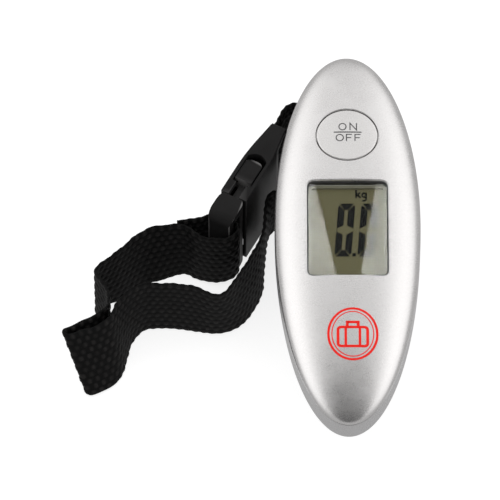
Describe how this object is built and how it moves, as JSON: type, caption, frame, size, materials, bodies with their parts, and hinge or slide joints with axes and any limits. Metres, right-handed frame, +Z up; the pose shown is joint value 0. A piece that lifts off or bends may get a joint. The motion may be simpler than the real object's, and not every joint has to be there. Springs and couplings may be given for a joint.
{
  "type": "digital luggage scale",
  "caption": "Egg-shaped handheld digital luggage scale with a display and a round button, a steel shackle under it, and a webbing loop with a side-release buckle.",
  "frame": {"origin": "on the table, under the middle of the body's length and width", "axes": "+Z up from the table through the display face, +Y along the body towards the button end, +X across the body"},
  "size_m": [0.1128, 0.137, 0.0385],
  "materials": {
    "cover_paint": "fine silver lacquer, satin with sparkle",
    "casing_paint": "smooth silver lacquer, satin",
    "button_paint": "fine silver lacquer, satin",
    "clear_plastic": "clear, polished",
    "bezel_plastic": "translucent, satin",
    "lcd_glass": "reflective display, olive",
    "elastomer": "striped elastomer",
    "board": "solder-masked laminate",
    "epoxy": "cast epoxy",
    "switch_plastic": "moulded",
    "beam_alloy": "milled",
    "gauge_film": "printed film",
    "zinc_steel": "zinc plated",
    "spring_metal": "plated spring strip",
    "cell_steel": "polished steel can",
    "webbing": "woven, black",
    "thread": "sewing thread",
    "buckle_plastic": "moulded acetal, black"
  },
  "bodies": {
    "scale": {"front_cover": "cover_paint", "rear_casing": "casing_paint", "display_lens": "clear_plastic", "display_bezel": "bezel_plastic", "lcd_panel": "lcd_glass", "zebra_strips": "elastomer", "circuit_board": "board", "controller_chip": "epoxy", "tact_switch": "switch_plastic", "load_beam": "beam_alloy", "strain_gauges": "gauge_film", "beam_screws": "zinc_steel", "shackle": "zinc_steel", "shackle_screws": "zinc_steel", "strap_pin": "zinc_steel", "coin_cell": "cell_steel", "positive_contact": "spring_metal", "negative_contact": "spring_metal", "case_screws": "zinc_steel", "strap": "webbing", "strap_tail": "webbing", "buckle_female": "buckle_plastic", "buckle_male": "buckle_plastic"},
    "button": {"power_button": "button_paint", "switch_plunger": "switch_plastic"},
    "cap": {"battery_cap": "casing_paint"},
    "prong_top": {"upper_prong": "buckle_plastic"},
    "prong_bottom": {"lower_prong": "buckle_plastic"}
  },
  "joints": [
    {"name": "button_press", "type": "slide", "parent": "scale", "child": "button", "axis": [0, 0, -1], "range_m": [0, 0.0006], "stiffness_N_per_m": 900},
    {"name": "cap_turn", "type": "hinge", "parent": "scale", "child": "cap", "pos_m": [0, -0.024, 0.016], "axis": [0, 0, -1], "range_deg": [0, 60]},
    {"name": "upper_prong_bend", "type": "hinge", "parent": "scale", "child": "prong_top", "pos_m": [-0.03689, 0.01528, 0.0275], "axis": [-0.8796, 0.4756, 0], "range_deg": [0, 11], "stiffness_Nm_per_rad": 0.6},
    {"name": "lower_prong_bend", "type": "hinge", "parent": "scale", "child": "prong_bottom", "pos_m": [-0.03689, 0.01528, 0.005], "axis": [0.8796, -0.4756, 0], "range_deg": [0, 11], "stiffness_Nm_per_rad": 0.6}
  ]
}
